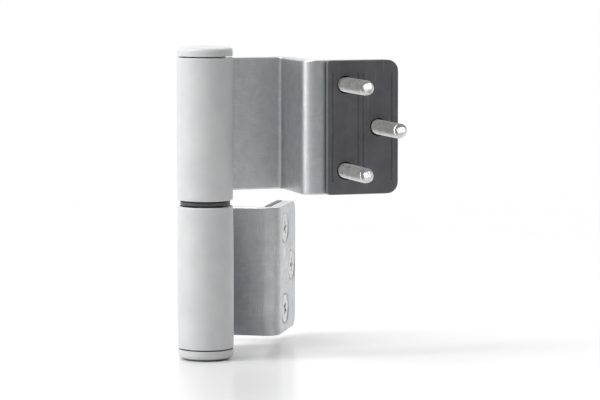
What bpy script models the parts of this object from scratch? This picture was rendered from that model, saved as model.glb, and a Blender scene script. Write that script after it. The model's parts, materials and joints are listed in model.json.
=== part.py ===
"""Lift-off barrel hinge for a lipped plastic casement window that opens into the room.

The frame side carries the pin in the lower knuckle. The sash side hangs on it by the upper knuckle,
and is drawn standing open by SASH_OPEN_DEG. Both leaves are bent twice, round the overlapping lip of
the sash. X runs along the closed window to the right, Y away from the room, Z up. Every mesh is drawn
about the hinge axis, with z = 0 at the parting of the two knuckles. The empty hinge_axis then puts
the axis where it belongs, seen from the frame mounting face, which holds the origin.
"""

import math

import bmesh
import bpy
from mathutils import Matrix, Vector

MM = 0.001

# the barrel as it shows: two covered knuckles with a groove between them
BARREL_R = 7.5 * MM
BARREL_HALF_H = 41.5 * MM
GROOVE_HALF_H = 0.8 * MM
SASH_OPEN_DEG = 61.0
GAP = 0.3 * MM

# window profile that the leaves are bent for
FRAME_REVEAL_X = 10.5 * MM
SASH_EDGE_X = 22.5 * MM
FRAME_FACE_Y = 24.0 * MM

# leaves: one strip thickness, bent twice, with the web close to the axis
LEAF_T = 3.0 * MM
WEB_X = -1.0 * MM
LEAF_END_Y = 46.0 * MM
BEND_R = 2.5 * MM
LEAF_NEAR_Z = 3.2 * MM
LEAF_CORNER_R = 3.5 * MM
PACKER_T = 1.5 * MM
PACKER_START_Y = 26.5 * MM
PACKER_CORNER_R = 3.0 * MM

# knuckles and what is inside them
KNUCKLE_R = 6.4 * MM
KNUCKLE_END_Z = 38.2 * MM
LOWER_BORE_R = 4.3 * MM
UPPER_BORE_R = 5.0 * MM
THREAD_BORE_R = 4.3 * MM
COLLAR_R = 5.2 * MM
COLLAR_H = 1.5 * MM
PIN_LOWER_R = 4.0 * MM
PIN_UPPER_R = 3.5 * MM
PIN_BOTTOM_Z = -34.0 * MM
PIN_TIP_Z = 20.0 * MM
WAIST_R = 3.2 * MM
WAIST_HALF_H = 2.5 * MM
LOCK_Z = -18.0 * MM
LOCK_R = 2.0 * MM
BUSH_IN_R = 3.8 * MM
BUSH_OUT_R = 4.7 * MM
BUSH_FLANGE_R = 6.2 * MM
BUSH_FLANGE_T = 1.0 * MM
LOWER_BUSH_TOP_Z = 9.0 * MM
UPPER_BUSH_Z = (11.0 * MM, 17.6 * MM)
WASHER_IN_R = 3.8 * MM
WASHER_OUT_R = 6.6 * MM
WASHER_HALF_T = 0.5 * MM
BALL_R = 2.5 * MM
BALL_Z = 21.7 * MM
PAD_R = 4.4 * MM
PAD_Z = (22.2 * MM, 25.8 * MM)
HEIGHT_SCREW_R = 4.0 * MM
HEIGHT_SCREW_Z = (26.1 * MM, 36.1 * MM)
HEIGHT_SOCKET_AF = 4.0 * MM
HEIGHT_SOCKET_DEPTH = 5.0 * MM
LOCK_SOCKET_AF = 2.0 * MM
LOCK_SOCKET_DEPTH = 1.6 * MM

# plastic covers
SLEEVE_IN_R = 6.7 * MM
SLEEVE_END_Z = 38.5 * MM
SLEEVE_SLOT_CLEARANCE = 0.5 * MM
CAP_NEAR_Z = 38.8 * MM
CAP_RIM_R = 1.1 * MM
CAP_DOME_H = 0.4 * MM
PLUG_R = 4.0 * MM
PLUG_END_Z = 36.6 * MM

# countersunk fixing screws, three to a leaf: (y, height of the hole from the leaf's middle)
SCREW_LENGTH = 25.0 * MM
SCREW_HEAD_R = 3.9 * MM
SCREW_HEAD_RIM = 0.2 * MM
SCREW_SHANK_R = 1.95 * MM
SCREW_SUNK = 0.1 * MM
SCREW_HOLE_R = 2.3 * MM
COUNTERSINK_R = 4.6 * MM
SCREW_POINT_H = 3.5 * MM
CROSS_SPAN = 4.2 * MM
CROSS_WIDTH = 0.9 * MM
CROSS_DEPTH = 1.5 * MM
SCREW_PLACES = ((31.5 * MM, 11.2 * MM), (31.5 * MM, -11.2 * MM), (40.5 * MM, 0.0))

ROUND_STEPS = 40
SMALL_STEPS = 20
BEND_STEPS = 4
SMOOTH_DEG = 35.0

LEAF_MID_Z = (LEAF_NEAR_Z + KNUCKLE_END_Z) / 2
STEP_Y = FRAME_FACE_Y - LEAF_T / 2
FRAME_FLANGE_X = FRAME_REVEAL_X + PACKER_T + GAP + LEAF_T / 2
SASH_FLANGE_X = SASH_EDGE_X - PACKER_T - GAP - LEAF_T / 2
ORIGIN_FROM_AXIS = Vector((FRAME_REVEAL_X, 34.0 * MM, -LEAF_MID_Z))


def clear_scene():
    for thing in list(bpy.data.objects):
        bpy.data.objects.remove(thing, do_unlink=True)


def make_material(name, colour, roughness, metallic):
    material = bpy.data.materials.new(name)
    material.use_nodes = True
    shader = material.node_tree.nodes["Principled BSDF"]
    shader.inputs["Base Color"].default_value = (*colour, 1.0)
    shader.inputs["Roughness"].default_value = roughness
    shader.inputs["Metallic"].default_value = metallic
    material.diffuse_color = (*colour, 1.0)
    return material


def make_materials():
    return {
        "zinc_plate": make_material("zinc_plate", (0.62, 0.63, 0.64), 0.38, 1.0),
        "pin_steel": make_material("pin_steel", (0.56, 0.56, 0.57), 0.25, 1.0),
        "ball_steel": make_material("ball_steel", (0.75, 0.75, 0.76), 0.08, 1.0),
        "screw_steel": make_material("screw_steel", (0.66, 0.66, 0.64), 0.30, 1.0),
        "cover_plastic": make_material("cover_plastic", (0.58, 0.585, 0.59), 0.36, 0.0),
        "packer_plastic": make_material("packer_plastic", (0.11, 0.11, 0.12), 0.60, 0.0),
        "bush_plastic": make_material("bush_plastic", (0.07, 0.07, 0.075), 0.42, 0.0),
    }


def make_empty(name, location, parent=None, turn_z=0.0):
    empty = bpy.data.objects.new(name, None)
    empty.location = location
    empty.rotation_euler = (0.0, 0.0, turn_z)
    empty.parent = parent
    empty.empty_display_size = 10 * MM
    bpy.context.scene.collection.objects.link(empty)
    return empty


def make_object(name, bm, parent, material=None):
    """Turn a bmesh into a named object with its faces pointing out, shaded smooth across round faces."""
    bmesh.ops.recalc_face_normals(bm, faces=bm.faces)
    mesh = bpy.data.meshes.new(name)
    bm.to_mesh(mesh)
    bm.free()
    mesh.shade_smooth()
    mesh.set_sharp_from_angle(angle=math.radians(SMOOTH_DEG))
    thing = bpy.data.objects.new(name, mesh)
    thing.parent = parent
    if material:
        mesh.materials.append(material)
    bpy.context.scene.collection.objects.link(thing)
    return thing


def combine(target, tool, operation):
    """Give target a Boolean with tool, which is hidden and drawn as wires."""
    modifier = target.modifiers.new(tool.name, "BOOLEAN")
    modifier.operation = operation
    modifier.solver = "EXACT"
    modifier.object = tool
    tool.hide_render = True
    tool.display_type = "WIRE"


def turned(outline, steps=ROUND_STEPS):
    """A solid of revolution about Z from (radius, height) points: a closed ring, or ends on the axis."""
    bm = bmesh.new()
    verts = [bm.verts.new((r, 0.0, z)) for r, z in outline]
    pairs = list(zip(verts, verts[1:]))
    if min(outline[0][0], outline[-1][0]) > 0.0:
        pairs.append((verts[-1], verts[0]))
    edges = [bm.edges.new(pair) for pair in pairs]
    bmesh.ops.spin(
        bm,
        geom=verts + edges,
        cent=(0.0, 0.0, 0.0),
        axis=(0.0, 0.0, 1.0),
        angle=2 * math.pi,
        steps=steps,
        use_merge=True,
    )
    bmesh.ops.remove_doubles(bm, verts=bm.verts, dist=1e-7)
    return bm


def extruded(outline, direction):
    """A prism: the outline's 3-D points as a face, pulled along direction."""
    bm = bmesh.new()
    face = bm.faces.new([bm.verts.new(point) for point in outline])
    pulled = bmesh.ops.extrude_face_region(bm, geom=[face])
    moved = [item for item in pulled["geom"] if isinstance(item, bmesh.types.BMVert)]
    bmesh.ops.translate(bm, verts=moved, vec=direction)
    return bm


def arc(centre, radius, start_deg, end_deg, steps):
    """Points of an arc in a plane, both ends included."""
    angles = [math.radians(start_deg + (end_deg - start_deg) * i / steps) for i in range(steps + 1)]
    return [(centre[0] + radius * math.cos(a), centre[1] + radius * math.sin(a)) for a in angles]


def mirrored(outline, side):
    """The same (radius, height) outline above the parting (side 1) or below it (side -1)."""
    return [(r, side * z) for r, z in outline]


def leaf_outline(flange_x):
    """Plan of a leaf: from the axis back along the web, across the step and back along the flange."""
    half = LEAF_T / 2
    route = [
        Vector((WEB_X, 0.0)),
        Vector((WEB_X, STEP_Y)),
        Vector((flange_x, STEP_Y)),
        Vector((flange_x, LEAF_END_Y)),
    ]
    left = [route[0] + Vector((-half, 0.0))]
    right = [route[0] + Vector((half, 0.0))]
    for before, corner, after in zip(route, route[1:], route[2:]):
        way_in = (corner - before).normalized()
        way_out = (after - corner).normalized()
        centre = corner - way_in * BEND_R + way_out * BEND_R
        turns_right = way_in.cross(way_out) < 0.0
        for side, points in ((1.0, left), (-1.0, right)):
            outer = turns_right if side > 0.0 else not turns_right
            radius = BEND_R + half if outer else BEND_R - half
            for i in range(BEND_STEPS + 1):
                a = math.radians(90.0 * i / BEND_STEPS)
                points.append(centre - way_out * radius * math.cos(a) + way_in * radius * math.sin(a))
    left.append(route[-1] + Vector((-half, 0.0)))
    right.append(route[-1] + Vector((half, 0.0)))
    return [tuple(point) for point in right + left[::-1]]


def round_far_corners(bm, far_y, radius):
    """Round the two corners of a flange at its free edge, where edges along X meet y = far_y."""
    corners = [
        edge
        for edge in bm.edges
        if all(abs(vert.co.y - far_y) < 1e-6 for vert in edge.verts)
        and abs(edge.verts[0].co.z - edge.verts[1].co.z) < 1e-6
    ]
    bmesh.ops.bevel(bm, geom=corners, offset=radius, segments=BEND_STEPS, affect="EDGES", profile=0.5)


def place_along_x(thing, location, towards):
    """Lay a piece drawn along +Z so that its +Z looks along +X (towards 1) or -X (towards -1)."""
    thing.location = location
    thing.rotation_euler = (0.0, towards * math.pi / 2, 0.0)


def make_countersink(name, parent, location, towards):
    """Cutter for a countersunk hole, mouth at its own z = 0."""
    depth = COUNTERSINK_R - SCREW_HOLE_R
    over = 1.0 * MM
    outline = [
        (0.0, over),
        (COUNTERSINK_R + over, over),
        (SCREW_HOLE_R, -depth),
        (SCREW_HOLE_R, -LEAF_T - over),
        (0.0, -LEAF_T - over),
    ]
    cutter = make_object(name, turned(outline, SMALL_STEPS), parent)
    place_along_x(cutter, location, towards)
    return cutter


def screw_spots(side):
    """Hole centres of one leaf as (y, z): side -1 is the frame's, below the parting; 1 is the sash's."""
    return [(y, side * LEAF_MID_Z + dz) for y, dz in SCREW_PLACES]


def make_leaf(name, side, flange_x, screw_side, bore_outline, parent, material):
    """A knuckle and its leaf in one piece, bored, with three countersunk holes."""
    near = LEAF_NEAR_Z if side > 0 else -KNUCKLE_END_Z
    height = KNUCKLE_END_Z - LEAF_NEAR_Z
    bm = extruded([(x, y, near) for x, y in leaf_outline(flange_x)], (0.0, 0.0, height))
    bmesh.ops.recalc_face_normals(bm, faces=bm.faces)
    round_far_corners(bm, LEAF_END_Y, LEAF_CORNER_R)
    leaf = make_object(name, bm, parent, material)

    near_z = GROOVE_HALF_H if side < 0 else GROOVE_HALF_H + BUSH_FLANGE_T + GAP
    edge = 0.4 * MM
    knuckle = [
        (0.0, near_z),
        (KNUCKLE_R - edge, near_z),
        (KNUCKLE_R, near_z + edge),
        (KNUCKLE_R, KNUCKLE_END_Z - edge),
        (KNUCKLE_R - edge, KNUCKLE_END_Z),
        (0.0, KNUCKLE_END_Z),
    ]
    blank = make_object(name + "_knuckle_blank", turned(mirrored(knuckle, side)), parent)
    combine(leaf, blank, "UNION")
    bore = make_object(name + "_bore", turned(bore_outline), parent)
    combine(leaf, bore, "DIFFERENCE")
    face_x = flange_x + screw_side * LEAF_T / 2
    for number, (y, z) in enumerate(screw_spots(side), 1):
        spot = (face_x, y, z)
        sink = make_countersink(f"{name}_hole_{number}", parent, spot, screw_side)
        combine(leaf, sink, "DIFFERENCE")
    return leaf


def make_frame_leaf(axis, materials):
    over = 1.0 * MM
    collar_seat_z = -(GROOVE_HALF_H + COLLAR_H + GAP)
    bore = [
        (0.0, over),
        (COLLAR_R + GAP, over),
        (COLLAR_R + GAP, collar_seat_z),
        (LOWER_BORE_R, collar_seat_z),
        (LOWER_BORE_R, -KNUCKLE_END_Z - over),
        (0.0, -KNUCKLE_END_Z - over),
    ]
    leaf = make_leaf("frame_leaf", -1, FRAME_FLANGE_X, 1, bore, axis, materials["zinc_plate"])
    lock_hole = [
        (0.0, 0.0),
        (LOCK_R + GAP, 0.0),
        (LOCK_R + GAP, BARREL_R),
        (0.0, BARREL_R),
    ]
    drill = make_object("frame_leaf_lock_hole", turned(lock_hole, SMALL_STEPS), axis)
    drill.location = (0.0, 0.0, LOCK_Z)
    drill.rotation_euler = (math.pi / 2, 0.0, 0.0)
    combine(leaf, drill, "DIFFERENCE")


def make_sash_leaf(sash, materials):
    over = 1.0 * MM
    thread_start = PAD_Z[1] + GAP
    bore = [
        (0.0, -over),
        (UPPER_BORE_R, -over),
        (UPPER_BORE_R, thread_start),
        (THREAD_BORE_R, thread_start),
        (THREAD_BORE_R, KNUCKLE_END_Z + over),
        (0.0, KNUCKLE_END_Z + over),
    ]
    make_leaf("sash_leaf", 1, SASH_FLANGE_X, -1, bore, sash, materials["zinc_plate"])


def make_packer(name, side, low_x, parent, material):
    """Flat packer with three clearance holes, between a leaf's flange and the window profile."""
    near = LEAF_NEAR_Z if side > 0 else -KNUCKLE_END_Z
    far = near + KNUCKLE_END_Z - LEAF_NEAR_Z
    outline = [
        (low_x, PACKER_START_Y, near),
        (low_x + PACKER_T, PACKER_START_Y, near),
        (low_x + PACKER_T, LEAF_END_Y, near),
        (low_x, LEAF_END_Y, near),
    ]
    bm = extruded(outline, (0.0, 0.0, far - near))
    bmesh.ops.recalc_face_normals(bm, faces=bm.faces)
    round_far_corners(bm, LEAF_END_Y, PACKER_CORNER_R)
    packer = make_object(name, bm, parent, material)
    over = 1.0 * MM
    hole = [
        (0.0, -over),
        (SCREW_HOLE_R, -over),
        (SCREW_HOLE_R, PACKER_T + over),
        (0.0, PACKER_T + over),
    ]
    for number, (y, z) in enumerate(screw_spots(side), 1):
        drill = make_object(f"{name}_hole_{number}", turned(hole, SMALL_STEPS), parent)
        place_along_x(drill, (low_x, y, z), 1)
        combine(packer, drill, "DIFFERENCE")


def make_fixing_screws(prefix, side, flange_x, head_side, parent, material):
    """Three countersunk screws with a cross recess, head towards +X (head_side 1) or -X (-1)."""
    cone_h = SCREW_HEAD_R - SCREW_SHANK_R
    outline = [
        (0.0, 0.0),
        (SCREW_HEAD_R, 0.0),
        (SCREW_HEAD_R, -SCREW_HEAD_RIM),
        (SCREW_SHANK_R, -SCREW_HEAD_RIM - cone_h),
        (SCREW_SHANK_R, -SCREW_LENGTH + SCREW_POINT_H),
        (0.0, -SCREW_LENGTH),
    ]
    head_x = flange_x + head_side * (LEAF_T / 2 - SCREW_SUNK)
    for number, (y, z) in enumerate(screw_spots(side), 1):
        screw = make_object(f"{prefix}_{number}", turned(outline, SMALL_STEPS), parent, material)
        place_along_x(screw, (head_x, y, z), head_side)
        for arm, turn in (("a", 0.0), ("b", math.pi / 2)):
            bm = bmesh.new()
            size = Matrix.Diagonal((CROSS_SPAN, CROSS_WIDTH, 2 * CROSS_DEPTH, 1.0))
            bmesh.ops.create_cube(bm, size=1.0, matrix=Matrix.Rotation(turn, 4, "Z") @ size)
            slot = make_object(f"{prefix}_{number}_recess_{arm}", bm, screw)
            combine(screw, slot, "DIFFERENCE")


def make_hinge_pin(axis, materials):
    """Stepped pin: collar at the parting, waist for the lock screw, dished tip for the ball."""
    chamfer = 0.6 * MM
    taper = 0.2 * MM
    collar_top = -GROOVE_HALF_H
    collar_low = collar_top - COLLAR_H
    dish_r = BALL_R + GAP
    dish_start = math.degrees(math.asin((PIN_TIP_Z - BALL_Z) / dish_r))
    outline = [
        (0.0, PIN_BOTTOM_Z),
        (PIN_LOWER_R - chamfer, PIN_BOTTOM_Z),
        (PIN_LOWER_R, PIN_BOTTOM_Z + chamfer),
        (PIN_LOWER_R, LOCK_Z - WAIST_HALF_H - taper),
        (WAIST_R, LOCK_Z - WAIST_HALF_H + taper),
        (WAIST_R, LOCK_Z + WAIST_HALF_H - taper),
        (PIN_LOWER_R, LOCK_Z + WAIST_HALF_H + taper),
        (PIN_LOWER_R, collar_low),
        (COLLAR_R, collar_low),
        (COLLAR_R, collar_top),
        (PIN_UPPER_R, collar_top),
        (PIN_UPPER_R, PIN_TIP_Z - chamfer),
        (PIN_UPPER_R - chamfer, PIN_TIP_Z),
    ]
    outline += arc((0.0, BALL_Z), dish_r, dish_start, -90.0, BEND_STEPS)[:-1]
    outline.append((0.0, BALL_Z - dish_r))
    make_object("hinge_pin", turned(outline), axis, materials["pin_steel"])


def make_hex_cutter(name, across_flats, depth, top, parent):
    """Hexagonal socket, mouth at top on its own Z axis."""
    radius = across_flats / math.sqrt(3.0)
    floor = top - depth
    outline = [(x, y, floor) for x, y in arc((0.0, 0.0), radius, 0.0, 300.0, 5)]
    return make_object(name, extruded(outline, (0.0, 0.0, 2 * depth)), parent)


def make_pin_lock_screw(axis, materials):
    """Short grub screw that reaches from under the sleeve to the pin's waist, along -Y."""
    inner = WAIST_R + GAP
    outer = KNUCKLE_R - 0.1 * MM
    chamfer = 0.3 * MM
    outline = [
        (0.0, inner),
        (LOCK_R - chamfer, inner),
        (LOCK_R, inner + chamfer),
        (LOCK_R, outer - chamfer),
        (LOCK_R - chamfer, outer),
        (0.0, outer),
    ]
    screw = make_object("pin_lock_screw", turned(outline, SMALL_STEPS), axis, materials["screw_steel"])
    screw.location = (0.0, 0.0, LOCK_Z)
    screw.rotation_euler = (math.pi / 2, 0.0, 0.0)
    socket = make_hex_cutter("pin_lock_socket", LOCK_SOCKET_AF, LOCK_SOCKET_DEPTH, outer, screw)
    combine(screw, socket, "DIFFERENCE")


def make_sleeve(name, side, parent, material):
    """Thin cover tube over a knuckle, slotted full length for the leaf's web."""
    edge = 0.3 * MM
    outline = [
        (SLEEVE_IN_R, GROOVE_HALF_H),
        (BARREL_R - edge, GROOVE_HALF_H),
        (BARREL_R, GROOVE_HALF_H + edge),
        (BARREL_R, SLEEVE_END_Z),
        (SLEEVE_IN_R, SLEEVE_END_Z),
    ]
    sleeve = make_object(name, turned(mirrored(outline, side)), parent, material)
    half = LEAF_T / 2 + SLEEVE_SLOT_CLEARANCE
    bm = bmesh.new()
    bmesh.ops.create_cube(bm, size=1.0)
    bmesh.ops.scale(bm, vec=(2 * half, 2 * BARREL_R, 2 * BARREL_HALF_H), verts=bm.verts)
    bmesh.ops.translate(bm, vec=(WEB_X, BARREL_R, side * BARREL_HALF_H / 2), verts=bm.verts)
    combine(sleeve, make_object(name + "_slot", bm, parent), "DIFFERENCE")


def make_cap(name, side, parent, material):
    """Domed end cap with a plug that sits in the end of the knuckle's bore."""
    rim_top = BARREL_HALF_H - CAP_DOME_H
    rim_centre = (BARREL_R - CAP_RIM_R, rim_top - CAP_RIM_R)
    edge = 0.3 * MM
    outline = [
        (0.0, PLUG_END_Z),
        (PLUG_R - edge, PLUG_END_Z),
        (PLUG_R, PLUG_END_Z + edge),
        (PLUG_R, CAP_NEAR_Z),
        (BARREL_R, CAP_NEAR_Z),
    ]
    outline += arc(rim_centre, CAP_RIM_R, 0.0, 75.0, BEND_STEPS)
    outline += [
        (BARREL_R * 0.45, BARREL_HALF_H - CAP_DOME_H * 0.2),
        (0.0, BARREL_HALF_H),
    ]
    make_object(name, turned(mirrored(outline, side)), parent, material)


def make_thrust_washer(sash, materials):
    outline = [
        (WASHER_IN_R, -WASHER_HALF_T),
        (WASHER_OUT_R, -WASHER_HALF_T),
        (WASHER_OUT_R, WASHER_HALF_T),
        (WASHER_IN_R, WASHER_HALF_T),
    ]
    make_object("thrust_washer", turned(outline), sash, materials["bush_plastic"])


def make_thrust_ball(sash, materials):
    outline = arc((0.0, BALL_Z), BALL_R, -90.0, 90.0, SMALL_STEPS // 2)
    outline[0] = (0.0, BALL_Z - BALL_R)
    outline[-1] = (0.0, BALL_Z + BALL_R)
    make_object("thrust_ball", turned(outline, SMALL_STEPS), sash, materials["ball_steel"])


def make_thrust_pad(sash, materials):
    """Pad with a dished underside that rides on the ball and carries the height screw."""
    low, high = PAD_Z
    chamfer = 0.4 * MM
    dish_r = BALL_R + GAP
    dish_end = math.degrees(math.asin((low - BALL_Z) / dish_r))
    outline = [(0.0, BALL_Z + dish_r)]
    outline += arc((0.0, BALL_Z), dish_r, 90.0, dish_end, BEND_STEPS)[1:]
    outline += [
        (PAD_R, low),
        (PAD_R, high - chamfer),
        (PAD_R - chamfer, high),
        (0.0, high),
    ]
    make_object("thrust_pad", turned(outline), sash, materials["bush_plastic"])


def make_height_screw(sash, materials):
    low, high = HEIGHT_SCREW_Z
    chamfer = 0.7 * MM
    outline = [
        (0.0, low),
        (HEIGHT_SCREW_R - chamfer, low),
        (HEIGHT_SCREW_R, low + chamfer),
        (HEIGHT_SCREW_R, high - chamfer),
        (HEIGHT_SCREW_R - chamfer, high),
        (0.0, high),
    ]
    screw = make_object("height_screw", turned(outline), sash, materials["screw_steel"])
    socket = make_hex_cutter("height_socket", HEIGHT_SOCKET_AF, HEIGHT_SOCKET_DEPTH, high, sash)
    combine(screw, socket, "DIFFERENCE")


def make_bushes(sash, materials):
    low = GROOVE_HALF_H
    flanged = [
        (BUSH_IN_R, low),
        (BUSH_FLANGE_R, low),
        (BUSH_FLANGE_R, low + BUSH_FLANGE_T),
        (BUSH_OUT_R, low + BUSH_FLANGE_T),
        (BUSH_OUT_R, LOWER_BUSH_TOP_Z),
        (BUSH_IN_R, LOWER_BUSH_TOP_Z),
    ]
    make_object("lower_bush", turned(flanged), sash, materials["bush_plastic"])
    start, end = UPPER_BUSH_Z
    plain = [
        (BUSH_IN_R, start),
        (BUSH_OUT_R, start),
        (BUSH_OUT_R, end),
        (BUSH_IN_R, end),
    ]
    make_object("upper_bush", turned(plain), sash, materials["bush_plastic"])


def main():
    clear_scene()
    materials = make_materials()
    axis = make_empty("hinge_axis", -ORIGIN_FROM_AXIS)
    sash = make_empty("sash_turn", (0.0, 0.0, 0.0), axis, -math.radians(SASH_OPEN_DEG))

    make_frame_leaf(axis, materials)
    make_packer("frame_packer", -1, FRAME_REVEAL_X, axis, materials["packer_plastic"])
    make_fixing_screws("frame_screw", -1, FRAME_FLANGE_X, 1, axis, materials["screw_steel"])
    make_hinge_pin(axis, materials)
    make_pin_lock_screw(axis, materials)
    make_sleeve("lower_sleeve", -1, axis, materials["cover_plastic"])
    make_cap("lower_cap", -1, axis, materials["cover_plastic"])

    make_thrust_washer(sash, materials)
    make_thrust_ball(sash, materials)
    make_thrust_pad(sash, materials)
    make_height_screw(sash, materials)

    make_sash_leaf(sash, materials)
    make_packer("sash_packer", 1, SASH_EDGE_X - PACKER_T, sash, materials["packer_plastic"])
    make_fixing_screws("sash_screw", 1, SASH_FLANGE_X, -1, sash, materials["screw_steel"])
    make_bushes(sash, materials)
    make_sleeve("upper_sleeve", 1, sash, materials["cover_plastic"])
    make_cap("upper_cap", 1, sash, materials["cover_plastic"])


main()
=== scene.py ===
"""Looks of the lift-off barrel hinge: every CAD node gets a finely made piece and a procedural material."""

import json
import math

import bmesh
import bpy
from mathutils import Matrix, Vector


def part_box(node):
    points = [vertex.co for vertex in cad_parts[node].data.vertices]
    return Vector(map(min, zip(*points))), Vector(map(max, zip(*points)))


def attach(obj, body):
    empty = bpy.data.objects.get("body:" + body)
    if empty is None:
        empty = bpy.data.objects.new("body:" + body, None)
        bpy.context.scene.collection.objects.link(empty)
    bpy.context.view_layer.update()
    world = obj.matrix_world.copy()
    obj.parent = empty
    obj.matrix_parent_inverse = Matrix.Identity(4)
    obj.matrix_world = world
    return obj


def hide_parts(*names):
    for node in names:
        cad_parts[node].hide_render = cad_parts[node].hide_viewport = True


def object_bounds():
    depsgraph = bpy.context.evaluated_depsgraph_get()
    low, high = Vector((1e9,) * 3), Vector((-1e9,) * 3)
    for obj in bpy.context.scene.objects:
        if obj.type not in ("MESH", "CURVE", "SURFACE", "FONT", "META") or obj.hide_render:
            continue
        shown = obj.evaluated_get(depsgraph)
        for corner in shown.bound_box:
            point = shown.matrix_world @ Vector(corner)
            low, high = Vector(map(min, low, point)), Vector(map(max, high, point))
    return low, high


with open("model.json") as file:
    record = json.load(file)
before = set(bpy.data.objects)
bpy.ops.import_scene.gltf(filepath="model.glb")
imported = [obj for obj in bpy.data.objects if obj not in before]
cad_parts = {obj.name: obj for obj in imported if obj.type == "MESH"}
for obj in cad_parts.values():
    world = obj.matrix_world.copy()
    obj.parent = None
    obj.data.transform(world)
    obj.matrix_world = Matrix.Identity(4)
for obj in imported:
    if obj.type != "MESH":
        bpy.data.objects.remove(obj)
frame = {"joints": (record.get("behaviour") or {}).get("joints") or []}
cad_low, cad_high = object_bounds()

MM = 0.001

# ---------------------------------------------------------------------------
# places and sizes, read from the frame
# ---------------------------------------------------------------------------
SWING = next(joint for joint in frame["joints"] if joint["name"] == "sash_swing")
AXIS = Vector(SWING["pos_m"])
SASH_OPEN = math.radians(-SWING["range_deg"][0])
FRAME_SIDE = Matrix.Translation(AXIS)
SASH_SIDE = FRAME_SIDE @ Matrix.Rotation(-SASH_OPEN, 4, "Z")


def span(node):
    """Lowest and highest corner of a node, seen from the hinge axis at the parting of the knuckles."""
    low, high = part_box(node)
    return low - AXIS, high - AXIS


CAP = span("upper_cap")
SLEEVE = span("upper_sleeve")
LEAF = span("frame_leaf")
PACKER = span("frame_packer")
PIN = span("hinge_pin")
WASHER = span("thrust_washer")
BALL = span("thrust_ball")
BALL_R = (BALL[1].z - BALL[0].z) / 2
BALL_Z = (BALL[0].z + BALL[1].z) / 2
PAD = span("thrust_pad")
HEIGHT = span("height_screw")
LOCK = span("pin_lock_screw")
LOCK_Z = (LOCK[0].z + LOCK[1].z) / 2
LOWER_BUSH = span("lower_bush")
UPPER_BUSH = span("upper_bush")

BARREL_R = CAP[1].y
BARREL_TOP = CAP[1].z
GROOVE = SLEEVE[0].z
SLEEVE_END = SLEEVE[1].z
KNUCKLE_END = -LEAF[0].z
LEAF_END_Y = LEAF[1].y
PACKER_X = (PACKER[0].x, PACKER[1].x)
PACKER_Y = (PACKER[0].y, PACKER[1].y)

# sizes that no box gives on its own
GAP = 0.3 * MM
LEAF_T = 3.0 * MM
WEB_X = -1.0 * MM
BEND_R = 2.5 * MM
LEAF_NEAR = 3.2 * MM
LEAF_MID = (LEAF_NEAR + KNUCKLE_END) / 2
STEP_Y = 22.5 * MM
FRAME_FLANGE_X = LEAF[1].x - LEAF_T / 2
SASH_EDGE_X = 22.5 * MM
PACKER_T = PACKER_X[1] - PACKER_X[0]
SASH_FLANGE_X = SASH_EDGE_X - PACKER_T - GAP - LEAF_T / 2
KNUCKLE_R = 6.4 * MM
COLLAR_H = 1.5 * MM
SLEEVE_IN_R = 6.7 * MM
SLOT_HALF = 2.0 * MM
SCREW_PLACES = ((31.5 * MM, 11.2 * MM), (31.5 * MM, -11.2 * MM), (40.5 * MM, 0.0))
SCREW_SUNK = 0.1 * MM
SCREW_LENGTH = 25.0 * MM
SCREW_R = 1.95 * MM
SCREW_HEAD_R = 3.9 * MM
HEIGHT_PITCH = 1.25 * MM
HOLE_R = 2.3 * MM
SINK_R = 4.6 * MM

# how far each covered half of the barrel swells towards its middle height
SWELL = 0.2 * MM
SWELL_MID = (GROOVE + BARREL_TOP) / 2

# steps round a full turn, and how far a cutter reaches past what it cuts
FINE = 96
MEDIUM = 56
SMALL = 36
OVER = 1.0 * MM
# how far a thread is drawn above its crests, before its blank trims it
CREST_EXTRA = 0.02 * MM

# the photo's view of the part
MIDDLE = (cad_low + cad_high) / 2
VIEW_AZIMUTH = 11.0
VIEW_ELEVATION = 5.5
VIEW_DISTANCE = 0.80


# ---------------------------------------------------------------------------
# outlines
# ---------------------------------------------------------------------------
def arc(cx, cy, radius, start_deg, end_deg, steps):
    """Points of an arc, both ends included."""
    points = []
    for i in range(steps + 1):
        a = math.radians(start_deg + (end_deg - start_deg) * i / steps)
        points.append((cx + radius * math.cos(a), cy + radius * math.sin(a)))
    return points


def softened(points, steps=3, closed=True):
    """A polyline whose corners (x, y, radius) become arcs of that radius. Radius 0 keeps a corner."""
    result = []
    count = len(points)
    for i, (x, y, radius) in enumerate(points):
        if radius <= 0.0 or (not closed and i in (0, count - 1)):
            result.append((x, y))
            continue
        here = Vector((x, y))
        before = Vector(points[i - 1][:2])
        after = Vector(points[(i + 1) % count][:2])
        to_before = (before - here).normalized()
        to_after = (after - here).normalized()
        half_angle = to_before.angle(to_after) / 2
        room = 0.49 * min((before - here).length, (after - here).length)
        reach = min(radius / math.tan(half_angle), room)
        start = here + to_before * reach
        end = here + to_after * reach
        bisector = (to_before + to_after).normalized()
        centre = here + bisector * reach / math.cos(half_angle)
        from_centre = start - centre
        turn = from_centre.angle_signed(end - centre)
        for k in range(steps + 1):
            point = centre + Matrix.Rotation(-turn * k / steps, 2) @ from_centre
            result.append((point.x, point.y))
    return result


# ---------------------------------------------------------------------------
# solids
# ---------------------------------------------------------------------------
def loft(rings):
    """A closed solid through rings of equally many 3-D points, with flat ends."""
    bm = bmesh.new()
    rows = [[bm.verts.new(point) for point in ring] for ring in rings]
    for low, high in zip(rows, rows[1:]):
        for i in range(len(low)):
            j = (i + 1) % len(low)
            bm.faces.new((low[i], low[j], high[j], high[i]))
    bm.faces.new(rows[0][::-1])
    bm.faces.new(rows[-1])
    bmesh.ops.recalc_face_normals(bm, faces=bm.faces)
    return bm


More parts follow.
